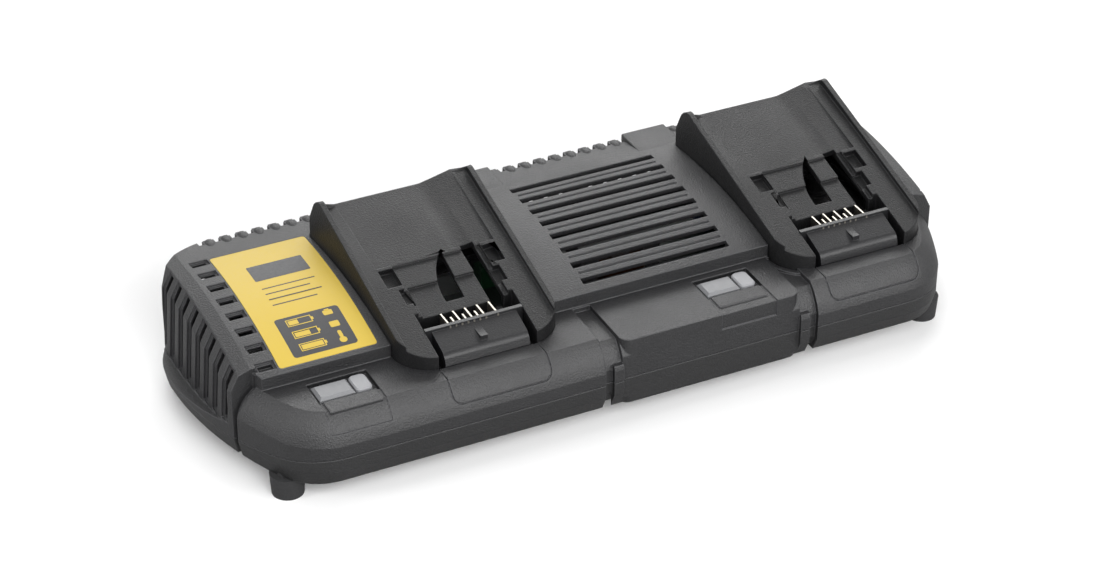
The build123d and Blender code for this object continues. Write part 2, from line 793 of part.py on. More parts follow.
# ---------------------------------------------------------------- bottom housing
with BuildPart() as lower_bosses:
    with Locations(*[(x, y, under_z) for x, y in case_screw_spots]):
        Cylinder(boss_diameter / 2 + 1, case_joint_z - under_z, align=down)
    with Locations(*[(x, y, under_z) for x, y in foot_spots.values()]):
        Cylinder(boss_diameter / 2, foot_boss_top_z - under_z, align=down)
        Cylinder(foot_spigot_diameter / 2 + 2, wall + foot_spigot, align=down)
    with Locations(*[(x, y, under_z) for x, y in board_screw_spots]):
        Cylinder(standoff_diameter / 2, board_z - under_z, align=down)
    add(housing_form(wall / 2), mode=Mode.INTERSECT)

with BuildPart() as bottom_housing:
    add(shell.part)
    add(below_arch(parting_points, -parting_gap / 2, front_y - 2, half_depth + 2), mode=Mode.INTERSECT)
    add(lower_bosses.part)
    with Locations(*[(x, y, under_z) for x, y in case_screw_spots]):
        Cylinder(head_hole_diameter / 2, case_counterbore, align=down, mode=Mode.SUBTRACT)
        Cylinder(hole_diameter / 2, apex_z, align=down, mode=Mode.SUBTRACT)
    with Locations(*[(x, y, under_z) for x, y in foot_spots.values()]):
        spigot_radius = foot_spigot_diameter / 2 + clearance
        Cylinder(spigot_radius, foot_spigot + clearance, align=down, mode=Mode.SUBTRACT)
        Cylinder(screw_diameter / 2, foot_boss_top_z - under_z - 1.5, align=down, mode=Mode.SUBTRACT)
    with Locations(*[(x, y, floor_z) for x, y in board_screw_spots]):
        Cylinder(screw_diameter / 2, apex_z, align=down, mode=Mode.SUBTRACT)
bottom_housing.part.label = "bottom_housing"
export_step(bottom_housing.part, "parts/bottom_housing.step")

# ---------------------------------------------------------------- battery docks


def dock_section(centre_x, drop, top_drop):
    """Dock's sides and top as a bar along the slope, sides in by `drop`, top down by `top_drop`."""
    low = rim_rise + 2 * dock_base_z
    top = rim_reach - drop + dock_side_lean * top_drop
    foot = rim_reach - drop + dock_side_lean * low
    with BuildPart() as bar:
        with BuildSketch(slope_section(centre_x)):
            with BuildLine():
                Polyline(
                    (-top, rim_rise - top_drop),
                    (top, rim_rise - top_drop),
                    (foot, rim_rise - low),
                    (-foot, rim_rise - low),
                    close=True,
                )
            make_face()
        extrude(amount=2 * body_depth, both=True)
    return bar.part


def dock_side(drop):
    """Side view of a dock: open to the front, its back moved in by `drop`."""
    hump = (hump_y - drop, bed_z(hump_y) + rim_rise / cos(radians(bed_angle)) - drop)
    back_top = (back_top_y - drop, hump[1] - back_top_drop)
    back_y = dock_back_y - drop
    with BuildPart() as side:
        with BuildSketch(Plane.YZ):
            with BuildLine():
                Polyline(back_top, (back_y, back_shoulder_z), (back_y, 0), (dock_front_y, 0))
                Polyline((dock_front_y, 0), (dock_front_y, 2 * apex_z), (hump[0], 2 * apex_z), hump)
                ThreePointArc(hump, (hump_mid_y - drop, hump[1] - hump_mid_drop), back_top)
            make_face()
        extrude(amount=body_length, both=True)
    return side.part


for side_name, centre_x in dock_xs.items():
    across = slope_section(centre_x)
    bed = bed_plane(centre_x)
    with BuildPart() as dock_void:
        add(footprint_solid(centre_x, -wall, dock_base_z - 1, 2 * apex_z))
        add(dock_section(centre_x, wall, rim_rise + bed_thickness), mode=Mode.INTERSECT)
        add(dock_side(wall), mode=Mode.INTERSECT)
        bay_depth = bay_back_y + wall - dock_front_y
        with Locations((centre_x, bay_back_y + wall - bay_depth / 2, 0)):
            Box(bay_width + 2 * wall, bay_depth, 2 * apex_z, align=down, mode=Mode.SUBTRACT)
        with Locations(*[(centre_x + x, y, 0) for x, y in dock_screw_spots]):
            Cylinder(boss_diameter / 2, 2 * apex_z, align=down, mode=Mode.SUBTRACT)

    with BuildPart() as dock:
        add(footprint_solid(centre_x, 0, dock_base_z, 2 * apex_z))
        add(dock_section(centre_x, 0, 0), mode=Mode.INTERSECT)
        add(dock_side(0), mode=Mode.INTERSECT)
        add(dock_void.part, mode=Mode.SUBTRACT)
        # inclined bed between the side rims
        with BuildSketch(across):
            Rectangle(bed_width, 4 * rim_rise, align=(Align.CENTER, Align.MIN))
        extrude(amount=2 * body_depth, both=True, mode=Mode.SUBTRACT)
        # bay for the contact block, open to the front
        bay_depth = bay_back_y - dock_front_y + 1
        with Locations((centre_x, bay_back_y - bay_depth / 2, bay_floor_z)):
            Box(bay_width, bay_depth, apex_z, align=down, mode=Mode.SUBTRACT)
        # shallow steps in the bed, deeper towards the contacts
        for half, start, end, sink in (
            (rear_half, rear_start, body_depth, rear_sink),
            (middle_half, -body_depth, rear_start, middle_sink),
            (front_half, -body_depth, front_end, front_sink),
        ):
            with BuildSketch(bed):
                with Locations((0, (start + end) / 2)):
                    Rectangle(2 * half, end - start)
            extrude(amount=-sink, mode=Mode.SUBTRACT)
        # notches and slots on both sides of the bed
        with BuildSketch(bed):
            for s in (-1, 1):
                with Locations((s * (notch_outer - notch_width / 2), notch_start + notch_length / 2)):
                    Rectangle(notch_width, notch_length)
                with Locations((s * (slot_outer - slot_width / 2), slot_start + slot_length / 2)):
                    Rectangle(slot_width, slot_length)
        extrude(amount=-notch_depth, mode=Mode.SUBTRACT)
        # two wells through the bed: one with a bowed side, one a trench along the right rail
        with BuildSketch(bed):
            with Locations(((trench_x + front_half) / 2, trench_end / 2)):
                Rectangle(front_half - trench_x, trench_end)
            with BuildLine():
                well_end = (well_left_x + well_left_width + well_hook, well_start + well_length)
                bow_point = (well_left_x + well_bow, well_start + well_length / 2)
                Polyline(well_end, (well_left_x + well_left_width, well_start), (well_left_x, well_start))
                ThreePointArc((well_left_x, well_start), bow_point, well_end)
            make_face()
        extrude(amount=-2 * bed_thickness, mode=Mode.SUBTRACT)
        # hollow channel from the wells to the back edge
        channel_radius = (channel_width**2 / 4 + channel_depth**2) / (2 * channel_depth)
        with BuildSketch(across.offset(channel_overlap - well_start - well_length)):
            with Locations((channel_x, channel_radius - channel_depth)):
                Circle(channel_radius)
        extrude(amount=-body_depth, mode=Mode.SUBTRACT)
        # screw holes, block pegs and lead holes
        with Locations(*[(centre_x + x, y, dock_base_z) for x, y in dock_screw_spots]):
            Cylinder(screw_diameter / 2, screw_grip + 1, align=down, mode=Mode.SUBTRACT)
        with Locations(*[(centre_x + x, peg_y, bay_floor_z) for x in (-peg_x, peg_x)]):
            Cylinder(peg_diameter / 2 + clearance, peg_length + clearance, align=up, mode=Mode.SUBTRACT)
        with Locations(*[(centre_x + x, lead_y, bay_floor_z) for x in long_blade_xs]):
            Cylinder(lead_diameter / 2 + clearance, bay_floor_z, align=up, mode=Mode.SUBTRACT)
    dock.part.label = f"{side_name}_dock"
    export_step(dock.part, f"parts/{side_name}_dock.step")

    # contact block standing in the bay
    with BuildPart() as block:
        with BuildSketch(Plane.YZ.offset(centre_x)):
            with BuildLine():
                Polyline(
                    (block_foot_y, bay_floor_z),
                    (block_foot_y, deck_z),
                    (block_top_front_y, block_top_front_z),
                    (block_bar_y - block_bar_depth, block_top_back_z),
                    (block_bar_y - block_bar_depth, block_bar_z),
                    (block_bar_y, block_bar_z),
                    (block_bar_y, bay_floor_z),
                    close=True,
                )
            make_face()
        extrude(amount=block_width / 2, both=True)
        # bar across the bay and key standing on the ramp
        bar_width = bay_width - 2 * clearance
        with Locations((centre_x, block_bar_y - block_bar_depth / 2, blade_low_z)):
            Box(bar_width, block_bar_depth, block_bar_z - blade_low_z, align=down)
        ramp_run = block_bar_y - block_bar_depth - block_top_front_y
        ramp_rise = (block_top_back_z - block_top_front_z) / ramp_run
        key_back_y = key_front_y + key_length
        key_height = ramp_rise * (key_back_y - block_top_front_y)
        with Locations((centre_x, (key_front_y + key_back_y) / 2, block_top_front_z)):
            Box(key_width, key_length, key_height, align=down)
        with Locations(*[(centre_x + x, block_bar_y, blade_low_z) for x in blade_xs]):
            Box(blade_thickness, 2 * blade_root, blade_height, align=down, mode=Mode.SUBTRACT)
        with Locations(*[(centre_x + x, lead_y, bay_floor_z) for x in long_blade_xs]):
            lead_drop = blade_low_z - bay_floor_z
            Cylinder(lead_diameter / 2 + clearance, lead_drop, align=down, mode=Mode.SUBTRACT)
        with Locations(*[(centre_x + x, peg_y, bay_floor_z) for x in (-peg_x, peg_x)]):
            Cylinder(peg_diameter / 2, peg_length, align=up)
    block.part.label = f"{side_name}_contact_block"
    export_step(block.part, f"parts/{side_name}_contact_block.step")

    with BuildPart() as blades:
        for x in blade_xs:
            reach = blade_root + (blade_long if x in long_blade_xs else blade_short)
            with Locations((centre_x + x, block_bar_y - blade_root + reach / 2, blade_low_z)):
                Box(blade_thickness, reach, blade_height, align=down)
    blades.part.label = f"{side_name}_blades"
    export_step(blades.part, f"parts/{side_name}_blades.step")

    with BuildPart() as leads:
        with Locations(*[(centre_x + x, lead_y, board_top) for x in long_blade_xs]):
            Cylinder(lead_diameter / 2, blade_low_z - board_top, align=down)
    leads.part.label = f"{side_name}_leads"
    export_step(leads.part, f"parts/{side_name}_leads.step")

    # indicator: lens body with light pipe, cap beside it, lamp and board under the deck
    lens_x = centre_x - pocket_offset - pocket_width / 2 + 1 + lens_width / 2
    cap_x = lens_x + lens_width / 2 + lens_gap + cap_width / 2
    with BuildPart() as lens:
        with Locations((lens_x, lens_y, pocket_floor_z)):
            Box(lens_width, lens_back_y - lens_front_y, lens_height, align=down)
        chamfer(lens.faces().sort_by(Axis.Z)[-1].edges(), lens_bevel)
        with Locations((lens_x, lens_y, pocket_floor_z)):
            Cylinder(light_pipe_diameter / 2, light_pipe_length, align=up)
    lens.part.label = f"{side_name}_lens"
    export_step(lens.part, f"parts/{side_name}_lens.step")

    with BuildPart() as cap:
        with BuildSketch(Plane.XY.offset(pocket_floor_z)):
            with Locations((cap_x, lens_y)):
                RectangleRounded(cap_width, lens_back_y - lens_front_y + cap_reach, cap_corner)
        extrude(amount=lens_height)
        chamfer(cap.faces().sort_by(Axis.Z)[-1].edges(), lens_bevel / 2)
        with Locations((cap_x, lens_y, pocket_floor_z)):
            Cylinder(light_pipe_diameter / 2, light_pipe_length, align=up)
    cap.part.label = f"{side_name}_lens_cap"
    export_step(cap.part, f"parts/{side_name}_lens_cap.step")

    with BuildPart() as lamps:
        with Locations(*[(x, lens_y, indicator_z) for x in (lens_x, cap_x)]):
            Cylinder(led_diameter / 2, led_height, align=down)
    lamps.part.label = f"{side_name}_lamps"
    export_step(lamps.part, f"parts/{side_name}_lamps.step")

    with BuildPart() as lamp_board:
        with Locations(((lens_x + cap_x) / 2, lens_y, indicator_z)):
            Box(indicator_board_width, indicator_board_depth, indicator_board_thickness, align=up)
    lamp_board.part.label = f"{side_name}_lamp_board"
    export_step(lamp_board.part, f"parts/{side_name}_lamp_board.step")

# ---------------------------------------------------------------- label, feet, gland
label_plate = label_sheet(0, 0, label_thickness)
label_plate.label = "label_plate"
export_step(label_plate, "parts/label_plate.step")

for spot_name, (x, y) in foot_spots.items():
    with BuildPart() as foot:
        with Locations((x, y, 0)):
            Cone(foot_diameter / 2 - foot_taper, foot_diameter / 2, foot_height, align=down)
        with Locations((x, y, under_z)):
            Cylinder(foot_spigot_diameter / 2, foot_spigot, align=down)
        with Locations((x, y, 0)):
            Cylinder(head_hole_diameter / 2, foot_counterbore, align=down, mode=Mode.SUBTRACT)
            Cylinder(hole_diameter / 2, 2 * foot_height, align=down, mode=Mode.SUBTRACT)
    foot.part.label = f"{spot_name}_foot"
    export_step(foot.part, f"parts/{spot_name}_foot.step")

with BuildPart() as cord_gland:
    with BuildSketch(Plane.XZ.offset(-half_depth)):
        with Locations((gland_x, gland_z)):
            Circle(gland_diameter / 2)
    extrude(amount=wall)
    with BuildSketch(Plane.XZ.offset(-half_depth + wall)):
        with Locations((gland_x, gland_z)):
            Circle(gland_flange / 2)
    extrude(amount=gland_flange_depth)
    with Locations((gland_x, half_depth, gland_z)):
        Cylinder(gland_bore / 2, 4 * wall + gland_flange_depth, rotation=(90, 0, 0), mode=Mode.SUBTRACT)
cord_gland.part.label = "cord_gland"
export_step(cord_gland.part, "parts/cord_gland.step")

# ---------------------------------------------------------------- screws


def screw_set(label, spots, shoulder_z, length, rise=1):
    """Screws at the (x, y) spots, head against shoulder_z, shank going up (rise 1) or down (rise -1)."""
    head_align, shank_align = (up, down) if rise > 0 else (down, up)
    with BuildPart() as screws:
        with Locations(*[(x, y, shoulder_z) for x, y in spots]):
            Cylinder(screw_head_diameter / 2, screw_head_height, align=head_align)
            Cylinder(screw_diameter / 2, length, align=shank_align)
        with Locations(*[(x, y, shoulder_z - rise * screw_head_height) for x, y in spots]):
            Box(cross_length, cross_width, 2 * cross_depth, mode=Mode.SUBTRACT)
            Box(cross_width, cross_length, 2 * cross_depth, mode=Mode.SUBTRACT)
    screws.part.label = label
    export_step(screws.part, f"parts/{label}.step")


dock_screw_all = [(centre_x + x, y) for centre_x in dock_xs.values() for x, y in dock_screw_spots]
case_shoulder_z = under_z + case_counterbore
screw_set("case_screws", case_screw_spots, case_shoulder_z, case_joint_z - case_shoulder_z + screw_grip)
screw_set("foot_screws", foot_spots.values(), foot_counterbore, foot_boss_top_z - foot_counterbore - 2)
screw_set("dock_screws", dock_screw_all, dock_base_z - ledge_thickness, ledge_thickness + screw_grip)
screw_set("board_screws", board_screw_spots, board_top, board_top - floor_z - 1, rise=-1)

# ---------------------------------------------------------------- electronics on the main board
with BuildPart() as main_board:
    with Locations((0, board_y, board_z)):
        Box(board_width, board_depth, board_thickness, align=down)
    with Locations(*[(x, y, board_z) for x, y in board_screw_spots]):
        Cylinder(hole_diameter / 2, board_thickness, align=down, mode=Mode.SUBTRACT)
main_board.part.label = "main_board"
export_step(main_board.part, "parts/main_board.step")

core_x, core_y = transformer_spot
window_width = (core_width - 3 * core_leg) / 2
window_height = core_height - 2 * core_yoke
with BuildPart() as core:
    with Locations((core_x, core_y, board_top)):
        Box(core_width, core_depth, core_height, align=down)
    window_x = (core_leg + window_width) / 2
    with Locations(*[(core_x + s * window_x, core_y, board_top + core_yoke) for s in (-1, 1)]):
        Box(window_width, core_depth, window_height, align=down, mode=Mode.SUBTRACT)
core.part.label = "transformer_core"
export_step(core.part, "parts/transformer_core.step")

with BuildPart() as winding:
    bundle = window_width - winding_margin
    with BuildSketch(Plane.XY.offset(board_top + core_yoke + winding_margin)):
        with Locations((core_x, core_y)):
            RectangleRounded(core_leg + 2 * bundle, core_depth + 2 * bundle, bundle / 2)
            Rectangle(core_leg, core_depth, mode=Mode.SUBTRACT)
    extrude(amount=window_height - 2 * winding_margin)
winding.part.label = "transformer_winding"
export_step(winding.part, "parts/transformer_winding.step")

with BuildPart() as choke:
    with Locations((*choke_spot, board_top)):
        Cylinder(choke_diameter / 2, choke_height, align=down)
        Cylinder(choke_bore / 2, choke_height, align=down, mode=Mode.SUBTRACT)
    fillet(choke.edges().filter_by(GeomType.CIRCLE), choke_height / 5)
choke.part.label = "filter_choke"
export_step(choke.part, "parts/filter_choke.step")

for label, spots, diameter, height in (
    ("bulk_capacitors", bulk_spots, bulk_diameter, bulk_height),
    ("output_capacitors", output_spots, output_diameter, output_height),
):
    with BuildPart() as cans:
        with Locations(*[(x, y, board_top) for x, y in spots]):
            Cylinder(diameter / 2, height, align=down)
        fillet(cans.edges().group_by(Axis.Z)[-1], 1)
    cans.part.label = label
    export_step(cans.part, f"parts/{label}.step")

with BuildPart() as heat_sinks:
    with Locations(*[(x, y, board_top) for x, y in sink_spots]):
        Box(sink_length, sink_thickness, sink_height, align=down)
heat_sinks.part.label = "heat_sinks"
export_step(heat_sinks.part, "parts/heat_sinks.step")

with BuildPart() as transistors:
    device_y = (sink_thickness + device_thickness) / 2
    device_spots = [(x + s * sink_length / 3, y + device_y) for x, y in sink_spots for s in (-1, 0, 1)]
    with Locations(*[(x, y, board_top) for x, y in device_spots]):
        Box(device_width, device_thickness, device_height, align=down)
transistors.part.label = "power_transistors"
export_step(transistors.part, "parts/power_transistors.step")

for label, spot, size in (
    ("bridge_rectifier", bridge_spot, (bridge_width, bridge_depth, bridge_height)),
    ("film_capacitor", film_spot, (film_width, film_depth, film_height)),
    ("inlet_terminal", terminal_spot, (terminal_width, terminal_depth, terminal_height)),
):
    with BuildPart() as component:
        with Locations((*spot, board_top)):
            Box(*size, align=down)
        chamfer(component.faces().sort_by(Axis.Z)[-1].edges(), 0.8)
    component.part.label = label
    export_step(component.part, f"parts/{label}.step")

with BuildPart() as fuse:
    with Locations((*fuse_spot, board_top + fuse_diameter / 2)):
        Cylinder(fuse_diameter / 2, fuse_length, rotation=(0, 90, 0))
fuse.part.label = "fuse"
export_step(fuse.part, "parts/fuse.step")
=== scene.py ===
import json
from math import cos, radians, sin, tan

import bmesh
import bpy
from bpy.props import FloatProperty, FloatVectorProperty, PointerProperty
from mathutils import Matrix, Vector
from mathutils.bvhtree import BVHTree


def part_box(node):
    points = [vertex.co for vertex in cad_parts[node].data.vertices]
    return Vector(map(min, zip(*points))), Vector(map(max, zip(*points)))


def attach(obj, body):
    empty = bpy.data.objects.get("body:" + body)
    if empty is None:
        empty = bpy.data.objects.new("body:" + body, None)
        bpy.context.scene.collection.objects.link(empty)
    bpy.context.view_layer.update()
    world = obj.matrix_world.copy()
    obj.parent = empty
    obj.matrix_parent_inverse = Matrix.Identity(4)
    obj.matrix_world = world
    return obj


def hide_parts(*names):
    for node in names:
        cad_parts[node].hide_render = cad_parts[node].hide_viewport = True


bl_info = {
    "name": "Dual-Port Battery Charger",
    "version": (1, 0, 0),
    "blender": (4, 5, 0),
    "location": "View3D > Sidebar > Charger",
    "description": "Builds the visible pieces and finishes of a dual-port power tool battery charger",
    "category": "Object",
}

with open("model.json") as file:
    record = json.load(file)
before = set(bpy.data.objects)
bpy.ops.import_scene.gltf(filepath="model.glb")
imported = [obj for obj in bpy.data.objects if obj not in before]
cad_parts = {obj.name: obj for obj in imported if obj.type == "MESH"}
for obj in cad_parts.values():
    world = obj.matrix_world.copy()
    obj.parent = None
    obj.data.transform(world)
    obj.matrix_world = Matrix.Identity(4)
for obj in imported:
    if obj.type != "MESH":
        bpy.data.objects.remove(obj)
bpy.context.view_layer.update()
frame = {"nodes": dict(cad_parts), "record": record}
MM = 0.001
SIDES = ("left", "right")
# slope of the dock beds in millimetres: a point on it and its angle
BED_Y, BED_Z, BED_ANGLE = -39.1, 56.8, radians(14.45)
# rounded ribs between the rear vents, in millimetres
RIB_MIDDLE_X, RIB_PITCH, RIBS_EACH_WAY = -5.5, 8.28, 18
RIB_Y, RIB_Z, RIB_HALF_DEPTH = 69.4, 56.8, 5.0
# raised blocks at the rear of the roof: left and right end of each, and what they share
BLOCK_ENDS = ((-24, -7.5), (66, 90))
BLOCK_Y, BLOCK_Z, BLOCK_DEPTH, BLOCK_HEIGHT = 62.2, 57.9, 24.3, 4.8
# stretches without ribs, a little wider than the blocks
RIBLESS = ((-26, -4), (64, 92))
# colour sockets of the Mix node, which share their names with its number sockets
COLOUR_A, COLOUR_B, COLOUR_RESULT = 6, 7, 2


# ---------------------------------------------------------------- sizes and colours


class ChargerShape(bpy.types.PropertyGroup):
    """Sizes of the softened edges and the small visible pieces."""

    dock_edge: FloatProperty(
        name="Dock edge radius",
        description="Rounding along the outer edges of the battery docks",
        default=0.5 * MM,
        min=0.1 * MM,
        unit="LENGTH",
    )
    rim_radius: FloatProperty(
        name="Rim radius",
        description="Rounding along the tops of the dock rims and the lip of the contact block",
        default=2.0 * MM,
        min=0.1 * MM,
        unit="LENGTH",
    )
    bed_dip: FloatProperty(
        name="Bed dip",
        description="How far the rear of the dock bed dips between its rim and its crest",
        default=5.0 * MM,
        min=0,
        unit="LENGTH",
    )
    rib_rise: FloatProperty(
        name="Rear rib rise",
        description="Half width of the rounded ribs along the rear edge of the roof",
        default=2.8 * MM,
        min=0.5 * MM,
        unit="LENGTH",
    )
    print_height: FloatProperty(
        name="Print height",
        description="Thickness of the ink on the label",
        default=0.05 * MM,
        min=0.01 * MM,
        unit="LENGTH",
    )
    # This width also sets the band of painted edge highlight on the housing and dock plastics.
    housing_edge: FloatProperty(
        name="Housing edge radius",
        description="Apparent rounding along the housing's edges",
        default=0.9 * MM,
        min=0.1 * MM,
        unit="LENGTH",
    )
    grain: FloatProperty(
        name="Grain",
        description="Size of the moulded grain on the plastic",
        default=0.8 * MM,
        min=0.1 * MM,
        unit="LENGTH",
    )


class ChargerColours(bpy.types.PropertyGroup):
    """Colours of the plastics, the label and the metal."""

    housing: FloatVectorProperty(
        name="Housing",
        description="Upper housing plastic",
        subtype="COLOR",
        default=(0.0125, 0.0125, 0.0135),
        min=0,
        max=1,
    )
    lower: FloatVectorProperty(
        name="Lower housing",
        description="Lower housing plastic",
        subtype="COLOR",
        default=(0.0085, 0.0085, 0.009),
        min=0,
        max=1,
    )
    dock: FloatVectorProperty(
        name="Dock",
        description="Battery dock plastic",
        subtype="COLOR",
        default=(0.005, 0.005, 0.0054),
        min=0,
        max=1,
    )
    label: FloatVectorProperty(
        name="Label",
        description="Ground colour of the printed label",
        subtype="COLOR",
        default=(0.54, 0.385, 0.045),
        min=0,
        max=1,
    )
    ink: FloatVectorProperty(
        name="Label ink",
        description="Dark ink printed on the label",
        subtype="COLOR",
        default=(0.022, 0.022, 0.024),
        min=0,
        max=1,
    )
    lens: FloatVectorProperty(
        name="Lens",
        description="Translucent indicator lens",
        subtype="COLOR",
        default=(0.16, 0.163, 0.17),
        min=0,
        max=1,
    )


class ChargerStage(bpy.types.PropertyGroup):
    """Camera, lamps and floor."""

    azimuth: FloatProperty(
        name="Azimuth",
        description="Camera direction, turned from straight along the depth",
        default=radians(26.206),
        subtype="ANGLE",
    )
    elevation: FloatProperty(
        name="Elevation",
        description="Camera height as an angle",
        default=radians(33.281),
        subtype="ANGLE",
    )
    roll: FloatProperty(
        name="Roll",
        description="Camera roll",
        default=radians(0.342),
        subtype="ANGLE",
    )
    distance: FloatProperty(
        name="Distance",
        description="Camera distance from the point that it looks at",
        default=1.4351,
        unit="LENGTH",
    )
    lens: FloatProperty(
        name="Lens",
        description="Focal length in millimetres on a 36 mm wide sensor",
        default=99.37,
        min=1,
    )
    lamp_power: FloatProperty(
        name="Lamp power",
        description="Power of the main soft lamp in watts",
        default=13,
        min=0,
    )
    surroundings: FloatProperty(
        name="Surroundings",
        description="Strength of the plain light from all round",
        default=0.06,
        min=0,
    )


# ---------------------------------------------------------------- materials


def new_material(name):
    """An empty node material with its output and Principled shader."""
    material = bpy.data.materials.new(name)
    material.use_nodes = True
    nodes, links = material.node_tree.nodes, material.node_tree.links
    nodes.clear()
    output = nodes.new("ShaderNodeOutputMaterial")
    shader = nodes.new("ShaderNodeBsdfPrincipled")
    links.new(shader.outputs[0], output.inputs[0])
    return material, nodes, links, shader


def noise(nodes, links, place, scale, detail=2.0, roughness=0.5):
    """Noise texture on the object's own coordinates; `scale` is in cycles per metre."""
    texture = nodes.new("ShaderNodeTexNoise")
    texture.inputs["Scale"].default_value = scale
    texture.inputs["Detail"].default_value = detail
    texture.inputs["Roughness"].default_value = roughness
    links.new(place.outputs["Object"], texture.inputs["Vector"])
    return texture


def ramp(nodes, links, source, low, high, low_value, high_value):
    """Map Range from a texture's factor."""
    mapped = nodes.new("ShaderNodeMapRange")
    mapped.inputs["From Min"].default_value = low
    mapped.inputs["From Max"].default_value = high
    mapped.inputs["To Min"].default_value = low_value
    mapped.inputs["To Max"].default_value = high_value
    links.new(source, mapped.inputs["Value"])
    return mapped.outputs["Result"]


def blended(nodes, links, factor, first, second):
    """Mix of two colours or colour outputs by a factor output."""
    mixed = nodes.new("ShaderNodeMix")
    mixed.data_type = "RGBA"
    links.new(factor, mixed.inputs[0])
    for place, value in ((COLOUR_A, first), (COLOUR_B, second)):
        if isinstance(value, bpy.types.NodeSocket):
            links.new(value, mixed.inputs[place])
        else:
            mixed.inputs[place].default_value = (*value, 1)
    return mixed.outputs[COLOUR_RESULT]


def shade(colour, amount):
    """A colour made lighter or darker by a share."""
    return tuple(min(1, c * (1 + amount)) for c in colour)


def moulded_plastic(name, colour, roughness, grain, bump=0.25, edge=0.9 * MM, gloss=0.5):
    """Fine-grained moulded plastic: mottled tone, grain in the surface, and edges painted paler as a
    highlight.
    """
    material, nodes, links, shader = new_material(name)
    place = nodes.new("ShaderNodeTexCoord")
    fine = noise(nodes, links, place, 1 / grain, 3, 0.6)
    broad = noise(nodes, links, place, 28, 3, 0.6)
    speckle = ramp(nodes, links, fine.outputs["Fac"], 0.35, 0.65, 0.0, 1.0)
    mottled = blended(nodes, links, speckle, shade(colour, -0.35), shade(colour, 0.35))
    rounded = nodes.new("ShaderNodeBevel")
    rounded.samples = 6
    rounded.inputs["Radius"].default_value = edge
    flat = nodes.new("ShaderNodeNewGeometry")
    turn = nodes.new("ShaderNodeVectorMath")
    turn.operation = "DOT_PRODUCT"
    links.new(rounded.outputs["Normal"], turn.inputs[0])
    links.new(flat.outputs["Normal"], turn.inputs[1])
    # Painted highlight: where the Bevel node's rounded normal turns away from the flat normal, the
    # colour is mixed towards a far paler tone of the plastic, standing in for light caught on rounded
    # edges.
    painted_edge_highlight = ramp(nodes, links, turn.outputs["Value"], 0.98, 0.80, 0.0, 0.9)
    links.new(
        blended(nodes, links, painted_edge_highlight, mottled, shade(colour, 3.5)),
        shader.inputs["Base Color"],
    )
    links.new(
        ramp(nodes, links, broad.outputs["Fac"], 0.3, 0.7, roughness - 0.05, roughness + 0.06),
        shader.inputs["Roughness"],
    )
    shader.inputs["Specular IOR Level"].default_value = gloss
    raised = nodes.new("ShaderNodeBump")
    raised.inputs["Strength"].default_value = bump
    raised.inputs["Distance"].default_value = 0.5 * grain
    links.new(fine.outputs["Fac"], raised.inputs["Height"])
    links.new(rounded.outputs["Normal"], raised.inputs["Normal"])
    links.new(raised.outputs["Normal"], shader.inputs["Normal"])
    return material


def plain_part(name, colour, roughness, metallic=0.0, scale=900, variation=0.12, bump=0.1):
    """Finish of a small part: slight mottling, uneven gloss and a faint surface texture."""
    material, nodes, links, shader = new_material(name)
    place = nodes.new("ShaderNodeTexCoord")
    fine = noise(nodes, links, place, scale, 3, 0.6)
    links.new(
        blended(nodes, links, fine.outputs["Fac"], shade(colour, -variation), shade(colour, variation)),
        shader.inputs["Base Color"],
    )
    links.new(
        ramp(nodes, links, fine.outputs["Fac"], 0.3, 0.7, roughness * 0.85, min(1, roughness * 1.15)),
        shader.inputs["Roughness"],
    )
    raised = nodes.new("ShaderNodeBump")
    raised.inputs["Strength"].default_value = bump
    raised.inputs["Distance"].default_value = 0.1 * MM
    links.new(fine.outputs["Fac"], raised.inputs["Height"])
    links.new(raised.outputs["Normal"], shader.inputs["Normal"])
    shader.inputs["Metallic"].default_value = metallic
    return material


